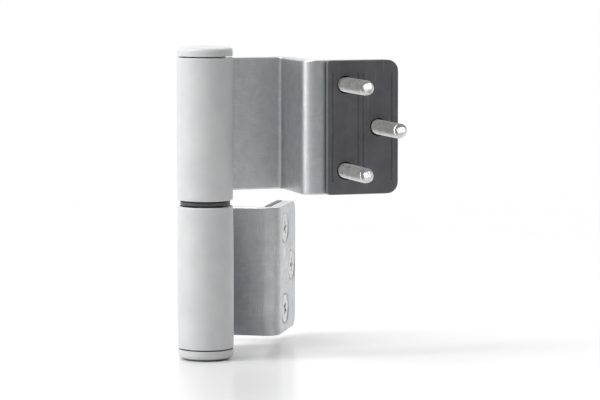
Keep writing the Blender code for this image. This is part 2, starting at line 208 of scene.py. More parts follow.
def turned(outline, steps=FINE, wobble=None):
    """A solid of revolution from (radius, height) points. A ring closes on itself; other outlines end on
    the axis. wobble(angle, radius, height) may return a changed radius."""
    bm = bmesh.new()
    ring = min(outline[0][0], outline[-1][0]) > 0.0
    columns = []
    for i in range(steps):
        a = 2 * math.pi * i / steps
        column = []
        for r, z in outline:
            radius = wobble(a, r, z) if wobble and r > 0.0 else r
            column.append(Vector((radius * math.cos(a), radius * math.sin(a), z)))
        columns.append(column)
    poles = {}
    grid = []
    for column in columns:
        verts = []
        for k, point in enumerate(column):
            if outline[k][0] == 0.0:
                if k not in poles:
                    poles[k] = bm.verts.new(point)
                verts.append(poles[k])
            else:
                verts.append(bm.verts.new(point))
        grid.append(verts)
    last = len(outline) if ring else len(outline) - 1
    for i in range(steps):
        here, there = grid[i], grid[(i + 1) % steps]
        for k in range(last):
            m = (k + 1) % len(outline)
            corners = []
            for vert in (here[k], there[k], there[m], here[m]):
                if vert not in corners:
                    corners.append(vert)
            bm.faces.new(corners)
    bmesh.ops.recalc_face_normals(bm, faces=bm.faces)
    return bm


def helix_rod(root_r, crest_r, pitch, low, high, steps, crest_share=0.12, root_share=0.2):
    """A right-hand threaded rod, a little longer than low to high at both ends."""
    turns = math.ceil((high - low) / pitch) + 3
    start = low - 1.5 * pitch
    flank = (1.0 - crest_share - root_share) / 2
    profile = [
        (0.0, root_r),
        (root_share, root_r),
        (root_share + flank, crest_r),
        (root_share + flank + crest_share, crest_r),
    ]
    bm = bmesh.new()
    total = turns * steps
    rows = []
    for i in range(total + steps + 1):
        a = 2 * math.pi * i / steps
        row = []
        for share, r in profile:
            if i > total and share > 0.0:
                break
            z = start + pitch * (i / steps + share)
            row.append(bm.verts.new((r * math.cos(a), r * math.sin(a), z)))
        rows.append(row)
    for i in range(total):
        here = rows[i] + [rows[i + steps][0]]
        there = rows[i + 1] + [rows[i + 1 + steps][0]]
        for k in range(len(profile)):
            bm.faces.new((here[k], there[k], there[k + 1], here[k + 1]))
    bottom = bm.verts.new((0.0, 0.0, start - pitch))
    loop = [rows[i][0] for i in range(steps + 1)] + rows[0][:0:-1]
    for a, b in zip(loop, loop[1:] + loop[:1]):
        bm.faces.new((bottom, b, a))
    top = bm.verts.new((0.0, 0.0, start + pitch * (turns + 3)))
    loop = [rows[total + i][0] for i in range(steps + 1)] + rows[total][:0:-1]
    for a, b in zip(loop, loop[1:] + loop[:1]):
        bm.faces.new((top, a, b))
    bmesh.ops.recalc_face_normals(bm, faces=bm.faces)
    return bm


def moved(bm, matrix):
    """The same solid, carried by matrix."""
    bmesh.ops.transform(bm, matrix=matrix, verts=bm.verts)
    return bm


def as_object(name, bm):
    """A linked object that takes over the solid."""
    mesh = bpy.data.meshes.new(name)
    bm.to_mesh(mesh)
    bm.free()
    thing = bpy.data.objects.new(name, mesh)
    bpy.context.scene.collection.objects.link(thing)
    return thing


def combined(base, tools):
    """base (a bmesh) after Booleans with (operation, bmesh) tools, as a bmesh."""
    target = as_object("boolean_base", base)
    helpers = []
    for operation, tool in tools:
        helper = as_object("boolean_tool", tool)
        modifier = target.modifiers.new("cut", "BOOLEAN")
        modifier.operation = operation
        modifier.solver = "EXACT"
        modifier.object = helper
        helpers.append(helper)
    bpy.context.view_layer.update()
    depsgraph = bpy.context.evaluated_depsgraph_get()
    mesh = bpy.data.meshes.new_from_object(target.evaluated_get(depsgraph))
    result = bmesh.new()
    result.from_mesh(mesh)
    for thing in [target, *helpers]:
        old = thing.data
        bpy.data.objects.remove(thing)
        bpy.data.meshes.remove(old)
    bpy.data.meshes.remove(mesh)
    bmesh.ops.remove_doubles(result, verts=result.verts, dist=2e-7)
    bmesh.ops.dissolve_degenerate(result, edges=result.edges, dist=2e-7)
    return result


def triangulated(bm):
    """All faces split into triangles, so that the diagonals of two neighbours never share their ends."""
    bmesh.ops.triangulate(bm, faces=bm.faces)
    return bm


# ---------------------------------------------------------------------------
# materials
# ---------------------------------------------------------------------------
class Look:
    """A Principled material whose nodes read the object's own coordinates in millimetres."""

    def __init__(self, name, colour, roughness, metallic=0.0, **constants):
        self.material = bpy.data.materials.new(name)
        self.material.use_nodes = True
        self.material.diffuse_color = (*colour, 1.0)
        self.tree = self.material.node_tree
        self.shader = self.tree.nodes["Principled BSDF"]
        self.shader.inputs["Base Color"].default_value = (*colour, 1.0)
        self.shader.inputs["Roughness"].default_value = roughness
        self.shader.inputs["Metallic"].default_value = metallic
        for socket, value in constants.items():
            self.shader.inputs[socket.replace("_", " ")].default_value = value
        source = self.tree.nodes.new("ShaderNodeTexCoord")
        scaled = self.tree.nodes.new("ShaderNodeVectorMath")
        scaled.operation = "SCALE"
        scaled.inputs["Scale"].default_value = 1000.0
        self.tree.links.new(source.outputs["Object"], scaled.inputs[0])
        self.mm = scaled.outputs[0]

    def node(self, kind, inputs, **settings):
        """A new node; each input is a number, a vector or another node's output."""
        made = self.tree.nodes.new(kind)
        for key, value in settings.items():
            setattr(made, key, value)
        for key, value in inputs.items():
            if isinstance(value, bpy.types.NodeSocket):
                self.tree.links.new(value, made.inputs[key])
            else:
                made.inputs[key].default_value = value
        return made

    def stretched(self, scale, turn=(0.0, 0.0, 0.0)):
        """The millimetre coordinates, turned and stretched."""
        inputs = {"Vector": self.mm, "Scale": scale, "Rotation": turn}
        return self.node("ShaderNodeMapping", inputs).outputs[0]

    def noise(self, scale, detail=2.0, rough=0.5, vector=None, distortion=0.0):
        """Soft noise, scale features to the millimetre unless vector is stretched."""
        inputs = {
            "Vector": vector or self.mm,
            "Scale": scale,
            "Detail": detail,
            "Roughness": rough,
            "Distortion": distortion,
        }
        return self.node("ShaderNodeTexNoise", inputs).outputs["Fac"]

    def ramp(self, value, low, high, to_low=0.0, to_high=1.0):
        """value from low to high becomes to_low to to_high, and stays between them."""
        inputs = {"Value": value, "From Min": low, "From Max": high, "To Min": to_low, "To Max": to_high}
        return self.node("ShaderNodeMapRange", inputs, clamp=True).outputs["Result"]

    def math(self, operation, a, b):
        """a and b put together by a Math node."""
        return self.node("ShaderNodeMath", {0: a, 1: b}, operation=operation).outputs[0]

    def mix(self, share, a, b):
        """Colour a where share is 0, b where it is 1."""
        a, b = ((*colour, 1.0) if isinstance(colour, tuple) else colour for colour in (a, b))
        return self.node("ShaderNodeMix", {0: share, 6: a, 7: b}, data_type="RGBA").outputs[2]

    def bump(self, height, depth_mm, strength=1.0, under=None):
        """Relief of that depth on top of the relief under it; a negative depth goes in."""
        inputs = {"Height": height, "Distance": depth_mm * MM, "Strength": strength}
        if under is not None:
            inputs["Normal"] = under
        return self.node("ShaderNodeBump", inputs).outputs[0]

    def edges(self, reach_mm=0.5):
        """Where a convex edge is rubbed, from 0 to 1: close under it the solid is thin."""
        reach = {"Distance": reach_mm * MM}
        inner = self.node("ShaderNodeAmbientOcclusion", reach, samples=8, inside=True, only_local=True)
        uneven = self.ramp(self.noise(1.3, 3.0, 0.6), 0.38, 0.6, 0.25, 1.0)
        return self.math("MULTIPLY", self.ramp(inner.outputs["AO"], 0.93, 0.6), uneven)

    def crevice_shade(self, reach_mm=1.5):
        """Painted shade from 0 to 1, from ambient occlusion: darker in seams, grooves and the corners behind
        other pieces.
        """
        outer = self.node("ShaderNodeAmbientOcclusion", {"Distance": reach_mm * MM}, samples=8)
        return self.ramp(outer.outputs["AO"], 0.8, 0.3)

    def feed(self, socket, value):
        """Let a node's output drive one of the shader's sockets."""
        self.tree.links.new(value, self.shader.inputs[socket])


def scratches(look, scale, turn, keep):
    """Thin straight marks in one direction: high where there is a mark."""
    vector = look.stretched((scale, scale * 0.03, scale * 0.03), turn)
    fine = look.noise(1.0, 2.0, 0.6, vector)
    patch = look.noise(0.12, 1.0, 0.5)
    marks = look.ramp(fine, keep, keep + 0.06)
    return look.math("MULTIPLY", marks, look.ramp(patch, 0.45, 0.62))


def cover_plastic():
    """Satin light grey-white moulded plastic: fine eroded grain, faint cloudiness, light handling marks."""
    look = Look("cover_plastic", (0.58, 0.585, 0.59), 0.36, Specular_IOR_Level=0.5)
    cloud = look.noise(0.16, 3.0, 0.55)
    speck = look.noise(11.0, 2.0, 0.6)
    grain = look.noise(3.2, 3.0, 0.6)
    ripple = look.noise(0.5, 2.0, 0.5)
    marks = scratches(look, 5.0, (0.3, 1.1, 0.4), 0.62)
    base = look.mix(look.ramp(cloud, 0.35, 0.65), (0.560, 0.565, 0.572), (0.602, 0.605, 0.608))
    base = look.mix(look.ramp(speck, 0.62, 0.70, 0.0, 0.30), base, (0.53, 0.53, 0.525))
    worn = look.mix(look.math("MULTIPLY", marks, 0.35), base, (0.69, 0.69, 0.69))
    worn = look.mix(look.math("MULTIPLY", look.edges(0.3), 0.30), worn, (0.68, 0.68, 0.675))
    # painted shade: the colour goes dark brown-grey in seams, grooves and behind other pieces, from ambient
    # occlusion
    look.feed("Base Color", look.mix(look.math("MULTIPLY", look.crevice_shade(), 0.45), worn, (0.36, 0.35, 0.335)))
    rough = look.ramp(cloud, 0.3, 0.7, 0.32, 0.42)
    look.feed("Roughness", look.math("ADD", rough, look.math("MULTIPLY", marks, 0.15)))
    wide = look.bump(ripple, 0.03, 0.5)
    fine = look.bump(grain, 0.02, 0.8, wide)
    look.feed("Normal", look.bump(marks, -0.004, 0.6, fine))
    return look.material


def zinc_plate():
    """Satin zinc plating on rolled steel: faint rolling lines, mottled passivation, scratches, worn edges."""
    look = Look("zinc_plate", (0.62, 0.63, 0.64), 0.36, 1.0)
    cloud = look.noise(0.35, 4.0, 0.65, distortion=0.4)
    tint = look.noise(0.11, 2.0, 0.5)
    lines = look.noise(1.0, 3.0, 0.6, look.stretched((0.35, 0.35, 9.0)))
    grain = look.noise(6.0, 4.0, 0.65)
    pits = look.noise(2.1, 3.0, 0.7)
    marks = scratches(look, 6.0, (0.2, 0.9, 1.2), 0.60)
    cool = look.mix(look.ramp(cloud, 0.32, 0.68), (0.535, 0.549, 0.568), (0.660, 0.666, 0.670))
    warm = look.mix(look.ramp(tint, 0.5, 0.75, 0.0, 0.18), cool, (0.66, 0.63, 0.54))
    lined = look.mix(look.ramp(lines, 0.38, 0.68, 0.0, 0.48), warm, (0.46, 0.47, 0.488))
    lined = look.mix(look.math("MULTIPLY", marks, 0.65), lined, (0.80, 0.805, 0.81))
    worn = look.mix(look.math("MULTIPLY", look.edges(), 0.65), lined, (0.80, 0.80, 0.79))
    # painted shade: the colour goes near black in bends, holes and behind other pieces, from ambient
    # occlusion
    look.feed("Base Color", look.mix(look.math("MULTIPLY", look.crevice_shade(), 0.5), worn, (0.22, 0.215, 0.205)))
    rough = look.ramp(cloud, 0.3, 0.7, 0.42, 0.31)
    rough = look.math("ADD", rough, look.ramp(grain, 0.35, 0.7, -0.03, 0.06))
    look.feed("Roughness", look.math("SUBTRACT", rough, look.math("MULTIPLY", marks, 0.10)))
    wide = look.bump(pits, 0.012, 0.5)
    rolled = look.bump(lines, 0.010, 0.7, wide)
    fine = look.bump(grain, 0.006, 0.9, rolled)
    look.feed("Normal", look.bump(marks, -0.006, 0.8, fine))
    return look.material


def screw_steel():
    """Bright zinc on rolled threads and pressed heads, with a faint blue and straw passivation."""
    look = Look("screw_steel", (0.66, 0.66, 0.64), 0.28, 1.0)
    cloud = look.noise(0.5, 3.0, 0.6)
    grain = look.noise(9.0, 3.0, 0.6)
    blue = look.mix(look.ramp(cloud, 0.35, 0.65), (0.55, 0.57, 0.61), (0.70, 0.68, 0.62))
    worn = look.mix(look.math("MULTIPLY", look.edges(0.25), 0.7), blue, (0.82, 0.82, 0.80))
    # painted shade: the colour goes near black in thread roots, the recess and behind other pieces, from
    # ambient occlusion
    painted_shade = look.math("MULTIPLY", look.crevice_shade(0.9), 0.8)
    look.feed("Base Color", look.mix(painted_shade, worn, (0.16, 0.155, 0.145)))
    rough = look.ramp(cloud, 0.3, 0.7, 0.24, 0.36)
    look.feed("Roughness", look.math("ADD", rough, look.ramp(grain, 0.4, 0.7, -0.02, 0.05)))
    look.feed("Normal", look.bump(grain, 0.004, 0.8))
    return look.material


def pin_steel():
    """Ground steel: fine rings round the pin, with thin grease."""
    look = Look("pin_steel", (0.56, 0.56, 0.57), 0.22, 1.0)
    rings = look.noise(1.0, 2.0, 0.6, look.stretched((0.15, 0.15, 14.0)))
    grease = look.noise(0.35, 3.0, 0.6, distortion=0.8)
    ground = look.mix(look.ramp(rings, 0.35, 0.65), (0.50, 0.50, 0.51), (0.62, 0.62, 0.63))
    look.feed("Base Color", look.mix(look.ramp(grease, 0.5, 0.62, 0.0, 0.3), ground, (0.42, 0.39, 0.33)))
    rough = look.ramp(rings, 0.3, 0.7, 0.18, 0.30)
    look.feed("Roughness", look.math("ADD", rough, look.ramp(grease, 0.45, 0.6, 0.0, 0.12)))
    fine = look.bump(rings, 0.003, 0.8)
    look.feed("Normal", look.bump(grease, 0.01, 0.4, fine))
    return look.material


def ball_steel():
    """Polished bearing steel with the faintest haze."""
    look = Look("ball_steel", (0.75, 0.75, 0.76), 0.07, 1.0)
    haze = look.noise(1.2, 3.0, 0.6)
    look.feed("Base Color", look.mix(look.ramp(haze, 0.4, 0.6), (0.70, 0.70, 0.71), (0.79, 0.79, 0.80)))
    look.feed("Roughness", look.ramp(haze, 0.35, 0.65, 0.05, 0.13))
    look.feed("Normal", look.bump(haze, 0.002, 0.4))
    return look.material


def packer_plastic():
    """Dark grey packer plastic: coarse eroded grain, flow clouding and rubbed, paler edges."""
    look = Look("packer_plastic", (0.11, 0.11, 0.12), 0.55, Specular_IOR_Level=0.45)
    cloud = look.noise(0.2, 3.0, 0.6, distortion=0.5)
    grain = look.noise(4.5, 3.0, 0.65)
    marks = scratches(look, 4.0, (0.5, 0.2, 0.8), 0.62)
    base = look.mix(look.ramp(cloud, 0.3, 0.7), (0.092, 0.093, 0.100), (0.128, 0.129, 0.136))
    worn = look.mix(look.math("MULTIPLY", marks, 0.45), base, (0.27, 0.27, 0.28))
    worn = look.mix(look.math("MULTIPLY", look.edges(0.4), 0.5), worn, (0.22, 0.22, 0.23))
    # painted shade: the colour goes darker in grooves, holes and behind other pieces, from ambient occlusion
    look.feed("Base Color", look.mix(look.math("MULTIPLY", look.crevice_shade(), 0.4), worn, (0.05, 0.048, 0.046)))
    look.feed("Roughness", look.ramp(cloud, 0.3, 0.7, 0.46, 0.60))
    fine = look.bump(grain, 0.012, 0.8)
    look.feed("Normal", look.bump(marks, -0.006, 0.6, fine))
    return look.material


def bush_plastic():
    """Dark acetal, a little waxy: turned rings, burnished patches and grease."""
    look = Look("bush_plastic", (0.07, 0.07, 0.075), 0.38)
    cloud = look.noise(0.4, 3.0, 0.6)
    rings = look.noise(1.0, 2.0, 0.5, look.stretched((0.2, 0.2, 8.0)))
    base = look.mix(look.ramp(cloud, 0.35, 0.65), (0.058, 0.058, 0.063), (0.085, 0.085, 0.090))
    look.feed("Base Color", look.mix(look.math("MULTIPLY", look.edges(0.25), 0.5), base, (0.16, 0.16, 0.165)))
    look.feed("Roughness", look.ramp(cloud, 0.3, 0.7, 0.28, 0.46))
    look.feed("Normal", look.bump(rings, 0.004, 0.7))
    return look.material


MATERIALS = {
    "cover_plastic": cover_plastic(),
    "zinc_plate": zinc_plate(),
    "screw_steel": screw_steel(),
    "pin_steel": pin_steel(),
    "ball_steel": ball_steel(),
    "packer_plastic": packer_plastic(),
    "bush_plastic": bush_plastic(),
}


def put(node, bm, place, body, slot, sharp_deg=28.0):
    """Put a solid in its place in the row frame, and let it stand for its CAD node."""
    moved(bm, place)
    bmesh.ops.recalc_face_normals(bm, faces=bm.faces)
    piece = as_object(node + "_fine", bm)
    piece.data.shade_smooth()
    piece.data.set_sharp_from_angle(angle=math.radians(sharp_deg))
    weighted = piece.modifiers.new("flat_faces_first", "WEIGHTED_NORMAL")
    weighted.keep_sharp = True
    piece.data.materials.append(MATERIALS[slot])
    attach(piece, body)
    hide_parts(node)


# ---------------------------------------------------------------------------
# leaves
# ---------------------------------------------------------------------------
def leaf_plan(flange_x, inset, end_y):
    """Plan of a leaf strip, thinner by inset at each side, with fillets where the web leaves the knuckle."""
    half = LEAF_T / 2 - inset
    fillet_r = 0.5 * MM
    knuckle_r = KNUCKLE_R - inset - 0.03 * MM
    bend_steps = 7
    left, right = [], []
    for points, side in ((left, -1.0), (right, 1.0)):
        web = WEB_X + side * half
        centre_x = web + side * fillet_r
        centre_y = math.sqrt((knuckle_r + fillet_r) ** 2 - centre_x**2)
        tangent = Vector((centre_x, centre_y)) * (knuckle_r / (knuckle_r + fillet_r))
        start = math.degrees(math.atan2(tangent.y - centre_y, tangent.x - centre_x))
        end = 180.0 if side > 0 else 0.0
        if side > 0 and start < 0.0:
            start += 360.0
        points.append((centre_x * 0.5, centre_y * 0.5))
        points += arc(centre_x, centre_y, fillet_r, start, end, 4)
    route = [
        Vector((WEB_X, 0.0)),
        Vector((WEB_X, STEP_Y)),
        Vector((flange_x, STEP_Y)),
        Vector((flange_x, end_y)),
    ]
    for before, corner, after in zip(route, route[1:], route[2:]):
        way_in = (corner - before).normalized()
        way_out = (after - corner).normalized()
        centre = corner - way_in * BEND_R + way_out * BEND_R
        turns_right = way_in.cross(way_out) < 0.0
        for points, on_left in ((left, True), (right, False)):
            radius = BEND_R + half if on_left == turns_right else BEND_R - half
            for i in range(bend_steps + 1):
                a = math.radians(90.0 * i / bend_steps)
                spot = centre - way_out * radius * math.cos(a) + way_in * radius * math.sin(a)
                points.append((spot.x, spot.y))
    corner_r = 0.6 * MM
    y = end_y - inset
    right += [(flange_x + half, y - corner_r)]
    right += arc(flange_x + half - corner_r, y - corner_r, corner_r, 0.0, 90.0, 4)[1:]
    left += [(flange_x - half, y - corner_r)]
    left += arc(flange_x - half + corner_r, y - corner_r, corner_r, 180.0, 90.0, 4)[1:]
    return right + left[::-1]


def heights(low, high, edge_r, corner_r, edge_steps=3, corner_steps=9):
    """Ring heights of a plate: close together where its edges and corners are round."""
    stops = set()
    for i in range(edge_steps + 1):
        stops.add(round(edge_r * (1 - math.cos(math.pi / 2 * i / edge_steps)), 9))
    for i in range(1, corner_steps + 1):
        stops.add(round(corner_r * (1 - math.cos(math.pi / 2 * i / corner_steps)), 9))
    near = sorted(low + stop for stop in stops)
    return near + sorted(high - stop for stop in stops)


def barrel_radius(z):
    """Radius of a covered half of the barrel: full in the middle, a little less at its ends."""
    return BARREL_R - SWELL * ((z - SWELL_MID) / (BARREL_TOP - SWELL_MID)) ** 4


def rounding(z, low, high, radius):
    """How far a rounded edge or corner of that radius has drawn in at height z."""
    into = max(0.0, low + radius - z, z - (high - radius))
    return radius - math.sqrt(max(0.0, radius**2 - min(into, radius) ** 2))


def leaf_strip(side, flange_x):
    """The cranked strip of a leaf, edges rounded, far corners cut round."""
    edge_r = 0.35 * MM
    corner_r = 3.5 * MM
    low, high = (LEAF_NEAR, KNUCKLE_END) if side > 0 else (-KNUCKLE_END, -LEAF_NEAR)
    rings = []
    for z in heights(low, high, edge_r, corner_r):
        inset = rounding(z, low, high, edge_r)
        end_y = LEAF_END_Y - rounding(z, low, high, corner_r)
        rings.append([(x, y, z) for x, y in leaf_plan(flange_x, inset, end_y)])
    return loft(rings)


def along_x(x, y, z, towards):
    """Matrix that lays something drawn along +Z so that its +Z looks along +X or -X."""
    return Matrix.Translation((x, y, z)) @ Matrix.Rotation(towards * math.pi / 2, 4, "Y")


def sink_cutter():
    """Countersunk hole with its lip broken by a tiny chamfer, mouth at z = 0."""
    lip = 0.12 * MM
    depth = SINK_R - HOLE_R
    return turned(
        [
            (0.0, OVER),
            (SINK_R + lip + OVER, OVER),
            (SINK_R + lip, 0.0),
            (SINK_R - lip, -2 * lip),
            (HOLE_R, -depth),
            (HOLE_R, -LEAF_T + lip),
            (HOLE_R + 2 * lip, -LEAF_T - lip),
            (HOLE_R + 2 * lip, -LEAF_T - OVER),
            (0.0, -LEAF_T - OVER),
        ],
        MEDIUM,
    )


def knuckle_blank(side, near):
    """Unbored knuckle with rounded rims, above the parting (side 1) or below it (side -1)."""
    soft = 0.5 * MM
    points = softened(
        [
            (0.0, near, 0.0),
            (KNUCKLE_R, near, soft),
            (KNUCKLE_R, KNUCKLE_END, soft),
            (0.0, KNUCKLE_END, 0.0),
        ],
        4,
        closed=False,
    )
    return turned([(r, side * z) for r, z in points])


def make_frame_leaf():
    """Lower knuckle and its leaf: seat for the pin's collar, lock screw hole, countersunk holes."""
    collar_r = PIN[1].x + GAP
    seat = -GROOVE - COLLAR_H - GAP
    bore_r = 4.3 * MM
    break_r = 0.35 * MM
    bore = turned(
        [
            (0.0, OVER),
            (collar_r + break_r, OVER),
            (collar_r + break_r, -GROOVE),
            (collar_r, -GROOVE - break_r),
            (collar_r, seat),
            (bore_r, seat),
            (bore_r, -KNUCKLE_END + break_r),
            (bore_r + break_r, -KNUCKLE_END),
            (bore_r + break_r, -KNUCKLE_END - OVER),
            (0.0, -KNUCKLE_END - OVER),
        ]
    )
    lock_hole_r = 2.3 * MM
    lock_hole = turned(
        [
            (0.0, 0.0),
            (lock_hole_r, 0.0),
            (lock_hole_r, KNUCKLE_R - 0.3 * MM),
            (lock_hole_r + 0.5 * MM, BARREL_R),
            (0.0, BARREL_R),
        ],
        SMALL,
    )
    moved(lock_hole, Matrix.Translation((0.0, 0.0, LOCK_Z)) @ Matrix.Rotation(math.pi / 2, 4, "X"))
    tools = [("UNION", knuckle_blank(-1, GROOVE)), ("DIFFERENCE", bore), ("DIFFERENCE", lock_hole)]
    face_x = FRAME_FLANGE_X + LEAF_T / 2
    for y, dz in SCREW_PLACES:
        tools.append(("DIFFERENCE", moved(sink_cutter(), along_x(face_x, y, dz - LEAF_MID, 1))))
    put("frame_leaf", combined(leaf_strip(-1, FRAME_FLANGE_X), tools), FRAME_SIDE, "frame_side", "zinc_plate")


def make_sash_leaf():
    """Upper knuckle and its leaf: bush bore, thread for the height screw, countersunk holes."""
    near = GROOVE + 1.3 * MM
    bore_r = 5.0 * MM
    thread_r = 4.3 * MM
    thread_start = PAD[1].z + GAP
    break_r = 0.35 * MM
    bore = turned(
        [
            (0.0, -OVER),
            (bore_r + break_r, -OVER),
            (bore_r + break_r, near),
            (bore_r, near + break_r),
            (bore_r, thread_start),
            (thread_r, thread_start + 0.4 * MM),
            (thread_r, KNUCKLE_END - break_r),
            (thread_r + break_r, KNUCKLE_END),
            (thread_r + break_r, KNUCKLE_END + OVER),
            (0.0, KNUCKLE_END + OVER),
        ]
    )
    thread = helix_rod(4.2 * MM, 4.55 * MM, HEIGHT_PITCH, thread_start + MM, KNUCKLE_END, MEDIUM)
    tools = [("UNION", knuckle_blank(1, near)), ("DIFFERENCE", bore), ("DIFFERENCE", thread)]
    face_x = SASH_FLANGE_X - LEAF_T / 2
    for y, dz in SCREW_PLACES:
        tools.append(("DIFFERENCE", moved(sink_cutter(), along_x(face_x, y, LEAF_MID + dz, -1))))
    put("sash_leaf", combined(leaf_strip(1, SASH_FLANGE_X), tools), SASH_SIDE, "sash_side", "zinc_plate")


# ---------------------------------------------------------------------------
# packers
# ---------------------------------------------------------------------------
def make_packer(node, side, low_x, outer, place, body):
    """Flat packer with soft edges, and grip grooves in the face that lies on the window profile: the one
    towards -X (outer -1) or +X (outer 1)."""
    edge_r = 0.25 * MM
    corner_r = 3.0 * MM
    low, high = (LEAF_NEAR, KNUCKLE_END) if side > 0 else (-KNUCKLE_END, -LEAF_NEAR)
    rings = []
    for z in heights(low, high, edge_r, corner_r):
        inset = rounding(z, low, high, edge_r)
        end_y = PACKER_Y[1] - rounding(z, low, high, corner_r) - inset
        start_y = PACKER_Y[0] + rounding(z, low, high, 0.8 * MM) + inset
        x0, x1 = low_x + inset, low_x + PACKER_T - inset
        plan = [(x0, start_y), (x1, start_y), (x1, end_y), (x0, end_y)]
        rings.append([(x, y, z) for x, y in softened([(x, y, edge_r) for x, y in plan], 3)])
    packer = loft(rings)
    tools = []
    lip = 0.15 * MM
    for y, dz in SCREW_PLACES:
        hole = turned(
            [
                (0.0, -OVER),
                (HOLE_R + lip, -OVER),
                (HOLE_R + lip, 0.0),
                (HOLE_R, lip),
                (HOLE_R, PACKER_T - lip),
                (HOLE_R + lip, PACKER_T),
                (HOLE_R + lip, PACKER_T + OVER),
                (0.0, PACKER_T + OVER),
            ],
            SMALL,
        )
        tools.append(("DIFFERENCE", moved(hole, along_x(low_x, y, side * LEAF_MID + dz, 1))))
    face_x = low_x if outer < 0 else low_x + PACKER_T
    mouth_x, floor_x = face_x + outer * OVER, face_x - outer * 0.22 * MM
    mouth_half, floor_half = 1.12 * MM, 0.112 * MM
    groove_ends = (low + 3.4 * MM, high - 3.4 * MM)
    for y in (28.0 * MM, 35.0 * MM, 36.4 * MM, 44.2 * MM):
        plan = [
            (mouth_x, y - mouth_half),
            (floor_x, y - floor_half),
            (floor_x, y + floor_half),
            (mouth_x, y + mouth_half),
        ]
        cutter = loft([[(plan_x, plan_y, z) for plan_x, plan_y in plan] for z in groove_ends])
        tools.append(("DIFFERENCE", cutter))
    put(node, combined(packer, tools), place, body, "packer_plastic")


# ---------------------------------------------------------------------------
# screws
# ---------------------------------------------------------------------------
def cross_recess(span_top, span_floor, width_top, width_floor, depth):
    """Tapered four-winged recess, mouth a little above z = 0, pointed floor."""
    rings = []
    for z, reach, half in (
        (0.4 * MM, span_top / 2 + 0.1 * MM, width_top / 2 + 0.05 * MM),
        (-depth * 0.75, span_floor / 2, width_floor / 2),
        (-depth, span_floor / 4, width_floor / 3),
    ):
        ring = []
        for k in range(4):
            turn = Matrix.Rotation(math.pi / 2 * k, 2)
            for corner in ((reach, -half), (reach, half), (half, half)):
                point = turn @ Vector(corner)
                ring.append((point.x, point.y, z))
        rings.append(ring)
    return loft(rings)


def fixing_screw():
    """Countersunk self-tapping screw, head up at z = 0, thread to just under the head, sharp point."""
    root_r = 1.22 * MM
    pitch = 1.9 * MM
    crest_share, root_share = 0.05, 0.58
    thread_top = -2.4 * MM
    point_h = 3.5 * MM
    blank = turned(
        [
            (0.0, thread_top),
            (SCREW_R - 0.25 * MM, thread_top),
            (SCREW_R, thread_top - MM),
            (SCREW_R, -SCREW_LENGTH + point_h),
            (0.07 * MM, -SCREW_LENGTH + 0.2 * MM),
            (0.0, -SCREW_LENGTH),
        ],
        MEDIUM,
    )
    crest_r = SCREW_R + CREST_EXTRA
    rod = helix_rod(root_r, crest_r, pitch, -SCREW_LENGTH, thread_top, SMALL, crest_share, root_share)
    thread = combined(rod, [("INTERSECT", blank)])
    neck = 0.35 * MM
    rim = 0.22 * MM
    head = turned(
        softened(
            [
                (0.0, 0.0, 0.0),
                (SCREW_HEAD_R - 0.03 * MM, 0.0, 0.18 * MM),
                (SCREW_HEAD_R, -rim, 0.12 * MM),
                (root_r + neck, -2.35 * MM, 0.5 * MM),
                (root_r + 0.08 * MM, -3.2 * MM, 0.3 * MM),
                (root_r, -4.0 * MM, 0.0),
                (0.0, -4.2 * MM, 0.0),
            ],
            3,
            closed=False,
        ),
        MEDIUM,
    )
    recess = cross_recess(4.3 * MM, 1.7 * MM, 1.05 * MM, 0.7 * MM, depth=1.9 * MM)
    return triangulated(combined(head, [("UNION", thread), ("DIFFERENCE", recess)]))


def make_fixing_screws():
    """Three screws to a leaf, each driven home at its own angle."""
    made = fixing_screw()
    for prefix, side, flange_x, towards, place, body in (
        ("frame_screw", -1, FRAME_FLANGE_X, 1, FRAME_SIDE, "frame_side"),
        ("sash_screw", 1, SASH_FLANGE_X, -1, SASH_SIDE, "sash_side"),
    ):
        head_x = flange_x + towards * (LEAF_T / 2 - SCREW_SUNK)
        for number, (y, dz) in enumerate(SCREW_PLACES, 1):
            driven = Matrix.Rotation(math.radians(37.0 * number + 20.0 * side), 4, "Z")
            spot = place @ along_x(head_x, y, side * LEAF_MID + dz, towards) @ driven
            put(f"{prefix}_{number}", made.copy(), spot, body, "screw_steel")
    made.free()


def hex_socket(across_flats, depth, top):
    """Hexagonal socket with a drilled floor and a chamfered mouth, open at top."""
    radius = across_flats / math.sqrt(3.0)
    floor = top - depth
    rings = []
    for z, share in ((floor - 0.5 * MM, 0.12), (floor, 1.0), (top - 0.2 * MM, 1.0), (top + 0.4 * MM, 1.25)):
        rings.append([(x * share, y * share, z) for x, y in arc(0.0, 0.0, radius, 0.0, 300.0, 5)])
    return loft(rings)


def grub_screw(crest_r, root_r, pitch, low, high, chamfer, socket_af, socket_depth, dog_r):
    """Headless screw with a chamfered socket end at the top and a dog point below."""
    blank = turned(
        [
            (0.0, low),
            (dog_r - 0.15 * MM, low),
            (dog_r, low + 0.15 * MM),
            (dog_r, low + chamfer),
            (crest_r, low + chamfer + (crest_r - dog_r)),
            (crest_r, high - chamfer),
            (crest_r - chamfer, high),
            (0.0, high),
        ],
        MEDIUM,
    )
    rod = helix_rod(root_r, crest_r + CREST_EXTRA, pitch, low, high, MEDIUM)
    socket = hex_socket(socket_af, socket_depth, high)
    return triangulated(combined(rod, [("INTERSECT", blank), ("DIFFERENCE", socket)]))


def make_height_screw():
    """M8 grub screw that lifts the sash side."""
    low, high = HEIGHT[0].z, HEIGHT[1].z
    screw = grub_screw(
        HEIGHT[1].y, 3.35 * MM, HEIGHT_PITCH, low, high,
        chamfer=0.5 * MM, socket_af=4.0 * MM, socket_depth=4.6 * MM, dog_r=2.8 * MM,
    )
    put("height_screw", screw, SASH_SIDE, "height_screw", "screw_steel")


